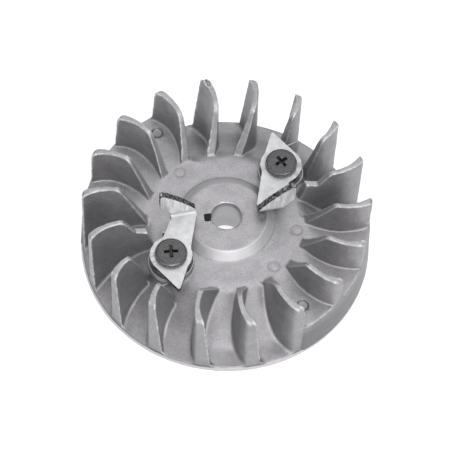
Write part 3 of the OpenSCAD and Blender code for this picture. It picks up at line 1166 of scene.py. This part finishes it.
def machined_aluminium_and_painted_light():
    """Reamed bore: pale as machined metal and paler still as painted light, with fine
    turning marks round the axis.
    """
    mat = material("machined_aluminium_and_painted_light", (0.4, 0.4, 0.41), 0.8, 0.35)
    n = Nodes(mat)
    lines = n.noise(0.8, 3, 0.6, place=n.stretched((0.15, 0.15, 4.0)))
    # Base colour: a machined tone, lifted as painted light for the shaded bore
    n.set("Base Color", n.ramp(
        lines, (0.3, (0.44, 0.435, 0.45)), (0.7, (0.56, 0.555, 0.57))
    ))
    n.set("Roughness", n.ramp(lines, (0.3, 0.3), (0.7, 0.45)))
    n.set("Normal", n.bump(lines, 0.02, 0.5))
    return mat


def zinc_plate():
    """Bright zinc on rolled plate: faint streaks and a soft cloudy sheen."""
    mat = material("zinc_plate", (0.78, 0.78, 0.8), 0.45, 0.3)
    n = Nodes(mat)
    cloud = n.noise(2.4, 4, 0.6)
    n.set("Base Color", n.ramp(
        cloud, (0.3, (0.4, 0.403, 0.41)), (0.7, (0.53, 0.532, 0.54))
    ))
    n.set("Roughness", n.ramp(n.noise(0.8, 4, 0.65), (0.3, 0.34), (0.7, 0.5)))
    n.set("Normal", n.bump(n.noise(0.9, 5, 0.6), 0.02, 0.5))
    return mat


def claw_painted_reflection():
    """Claw's faces, painted much paler as a painted reflection, with upright streaks."""
    mat = material("claw_painted_reflection", (0.85, 0.85, 0.86), 0.25, 0.25)
    n = Nodes(mat)
    streak = n.noise(2.2, 4, 0.6, place=n.stretched((1.6, 1.6, 0.25)))
    n.set("Base Color", n.ramp(
        streak, (0.34, (0.52, 0.52, 0.53)), (0.6, (0.72, 0.72, 0.73))
    ))
    n.set("Roughness", n.ramp(streak, (0.3, 0.2), (0.7, 0.34)))
    return mat


def sheared_edge():
    """Stamped edge: a bright burnished band and a dark torn one."""
    mat = material("sheared_edge", (0.3, 0.3, 0.31), 0.8, 0.5)
    n = Nodes(mat)
    torn = n.noise(0.9, 5, 0.7, 0.6)
    n.set("Base Color", n.ramp(
        torn, (0.42, (0.03, 0.03, 0.032)), (0.53, (0.12, 0.12, 0.125)),
        (0.62, (0.5, 0.5, 0.51)),
    ))
    n.set("Roughness", n.ramp(torn, (0.35, 0.65), (0.65, 0.4)))
    n.set("Normal", n.bump(torn, 0.16, 0.8))
    return mat


def black_steel(name, tone=1.0):
    """Blackened steel: dull dark grey with fine specks, darker or paler by tone; its recess
    and keyway copies are painted shade.
    """
    mat = material(name, (0.09, 0.09, 0.095), 0.4, 0.5)
    n = Nodes(mat)
    speck = n.noise(0.45, 5, 0.7)
    dark, pale = (
        tuple(c * tone for c in colour)
        for colour in ((0.028, 0.028, 0.029), (0.12, 0.121, 0.124))
    )
    n.set("Base Color", n.ramp(speck, (0.38, dark), (0.62, pale)))
    n.set("Roughness", n.ramp(speck, (0.3, 0.4), (0.7, 0.58)))
    n.set("Normal", n.bump(speck, 0.03, 0.5))
    return mat


def worn_edge_and_highlight():
    """Edge of a blackened screw head, rubbed back to bare steel, and paler still as a
    painted highlight.
    """
    mat = material("worn_edge_and_highlight", (0.5, 0.5, 0.51), 1.0, 0.3)
    n = Nodes(mat)
    rub_and_glint = n.noise(0.5, 4, 0.6)
    n.set("Base Color", n.ramp(
        rub_and_glint, (0.34, (0.14, 0.14, 0.145)), (0.6, (0.42, 0.42, 0.43))
    ))
    n.set("Roughness", n.ramp(rub_and_glint, (0.3, 0.45), (0.7, 0.28)))
    return mat


def spring_wire():
    """Drawn wire: grey, with small blotches."""
    mat = material("spring_wire", (0.55, 0.55, 0.57), 0.9, 0.35)
    n = Nodes(mat)
    streak = n.noise(0.6, 4, 0.6)
    n.set("Base Color", n.ramp(
        streak, (0.3, (0.26, 0.26, 0.27)), (0.7, (0.46, 0.46, 0.47))
    ))
    n.set("Roughness", n.ramp(streak, (0.3, 0.28), (0.7, 0.45)))
    return mat


def pole_steel():
    """Bare lamination steel, with a little brown where the coating has worn."""
    mat = material("pole_steel", (0.4, 0.4, 0.41), 0.9, 0.4)
    n = Nodes(mat)
    worn = n.noise(1.8, 4, 0.6)
    n.set("Base Color", n.ramp(
        worn, (0.3, (0.2, 0.19, 0.185)), (0.62, (0.36, 0.355, 0.36)),
        (0.75, (0.26, 0.2, 0.16)),
    ))
    n.set("Roughness", n.ramp(n.noise(0.7, 3, 0.6), (0.3, 0.32), (0.7, 0.5)))
    n.set("Normal", n.bump(n.noise(0.35, 3, 0.6), 0.02, 0.5))
    return mat


def magnet_block():
    """Dark cast magnet, hidden in the casting."""
    mat = material("magnet_block", (0.12, 0.12, 0.13), 0.5, 0.55)
    n = Nodes(mat)
    grain = n.noise(0.5, 4, 0.6)
    n.set("Base Color", n.ramp(grain, (0.3, 0.08), (0.7, 0.16)))
    n.set("Normal", n.bump(grain, 0.04, 0.5))
    return mat


def give(obj, *mats):
    """Fills a mesh's slots in order, and keeps each face's slot number."""
    faces = obj.data.polygons
    slots = np.zeros(len(faces), np.int32)
    faces.foreach_get("material_index", slots)
    obj.data.materials.clear()
    for mat in mats:
        obj.data.materials.append(mat)
    faces.foreach_set("material_index", slots)


def give_node(node, mat):
    """Puts a material on a CAD node, over the one it came with."""
    obj = frame["nodes"][node]
    for slot in obj.material_slots:
        slot.link = "OBJECT"
        slot.material = mat


# ---------- the whole object ----------

aluminium, bored = cast_aluminium(), machined_aluminium_and_painted_light()
zinc, torn_edge, claw_reflection_zinc = zinc_plate(), sheared_edge(), claw_painted_reflection()
screw_black = black_steel("black_steel")
head_edge_wear_and_highlight = worn_edge_and_highlight()
# The cross recess gets a darker copy of the head's steel: painted shade
recess_painted_shade = black_steel("recess_painted_shade", 0.25)
# The keyway's dark tone is painted shade for the deep slot
keyway_painted_shade = black_steel("keyway_shade", 0.5)
washer_black = black_steel("washer_steel", 2.2)
wire = spring_wire()
shoe_steel = pole_steel()

casting = make_casting()
give(casting, aluminium, bored, keyway_painted_shade)
for key, half_turns, recess_turn in (("a", 0, 40), ("b", 1, 8)):
    pawl = make_pawl(key, half_turns)
    give(pawl, zinc, torn_edge, claw_reflection_zinc)
    screw = make_screw(key, recess_turn)
    give(screw, screw_black, head_edge_wear_and_highlight, recess_painted_shade)
    washer = make_washer(key)
    give(washer, washer_black)
    spring = make_spring(key, half_turns)
    give(spring, wire)
for node, middle in zip(("leading_pole_shoe", "trailing_pole_shoe"), SHOE_TURNS):
    shoe = make_shoe(node, middle)
    give(shoe, shoe_steel)
give_node("magnet", magnet_block())


# ---------- stage, light and camera ----------

def make_floor():
    """Pale floor that glows a little, like a light table."""
    half = 4.0
    corners = [(-half, -half, 0), (half, -half, 0), (half, half, 0), (-half, half, 0)]
    mesh = bpy.data.meshes.new("floor")
    mesh.from_pydata(corners, [], [(0, 1, 2, 3)])
    floor = bpy.data.objects.new("floor", mesh)
    bpy.context.scene.collection.objects.link(floor)
    pale = material("floor", (0.25, 0.25, 0.25), 0.0, 0.8)
    shader = pale.node_tree.nodes["Principled BSDF"]
    shader.inputs["Emission Color"].default_value = (1, 1, 1, 1)
    shader.inputs["Emission Strength"].default_value = 0.82
    floor.data.materials.append(pale)


LIT_POINT = Vector((0, 0, 0.015))


def make_light(name, place, size, power):
    """Rectangular softbox that faces the object."""
    light = bpy.data.lights.new(name, "AREA")
    light.shape = "RECTANGLE"
    light.size, light.size_y = size
    light.energy = power
    obj = bpy.data.objects.new(name, light)
    obj.location = place
    aim = LIT_POINT - Vector(place)
    obj.rotation_euler = aim.to_track_quat("-Z", "Y").to_euler()
    bpy.context.scene.collection.objects.link(obj)


def make_camera():
    """Camera at the photograph's own angle, aimed close to the rim's back centre."""
    elevation, azimuth, roll = (math.radians(a) for a in (59.462, 0.19, 3.353))
    distance, shift_x, shift_y = 734.75, 0.39, 5.80
    back = Vector((
        math.sin(azimuth) * math.cos(elevation),
        -math.cos(azimuth) * math.cos(elevation),
        math.sin(elevation),
    ))
    right = Vector((math.cos(azimuth), math.sin(azimuth), 0))
    up = back.cross(right)
    right_r = right * math.cos(roll) + up * math.sin(roll)
    up_r = up * math.cos(roll) - right * math.sin(roll)
    place = (back * distance + right_r * shift_x + up_r * shift_y) * MM
    data = bpy.data.cameras.new("camera")
    data.sensor_width = 36
    data.lens = 171.95
    data.clip_start = 0.01
    camera = bpy.data.objects.new("camera", data)
    turned = Matrix((right_r, up_r, back)).transposed().to_4x4()
    camera.matrix_world = Matrix.Translation(place) @ turned
    bpy.context.scene.collection.objects.link(camera)
    bpy.context.scene.camera = camera


def make_world():
    """Pale dome, brighter overhead than at the horizon."""
    world = bpy.data.worlds.new("studio")
    world.use_nodes = True
    tree = world.node_tree
    coords = tree.nodes.new("ShaderNodeTexCoord")
    split = tree.nodes.new("ShaderNodeSeparateXYZ")
    ramp = tree.nodes.new("ShaderNodeValToRGB")
    for element, (at, grey) in zip(ramp.color_ramp.elements, ((0.0, 0.45), (0.9, 1.0))):
        element.position = at
        element.color = (grey, grey, grey * 1.01, 1)
    tree.links.new(coords.outputs["Generated"], split.inputs["Vector"])
    tree.links.new(split.outputs["Z"], ramp.inputs["Fac"])
    background = tree.nodes["Background"]
    tree.links.new(ramp.outputs["Color"], background.inputs["Color"])
    background.inputs["Strength"].default_value = 0.73
    bpy.context.scene.world = world


make_floor()
make_light("front", (0.3, -0.85, 0.45), (1.0, 0.25), 4.0)
make_light("key", (0.1, -0.42, 0.93), (0.5, 0.08), 3.2)
make_light("top", (0.15, 0.3, 0.9), (0.9, 0.7), 3.4)
make_world()
bpy.context.scene.view_settings.view_transform = "Standard"
make_camera()
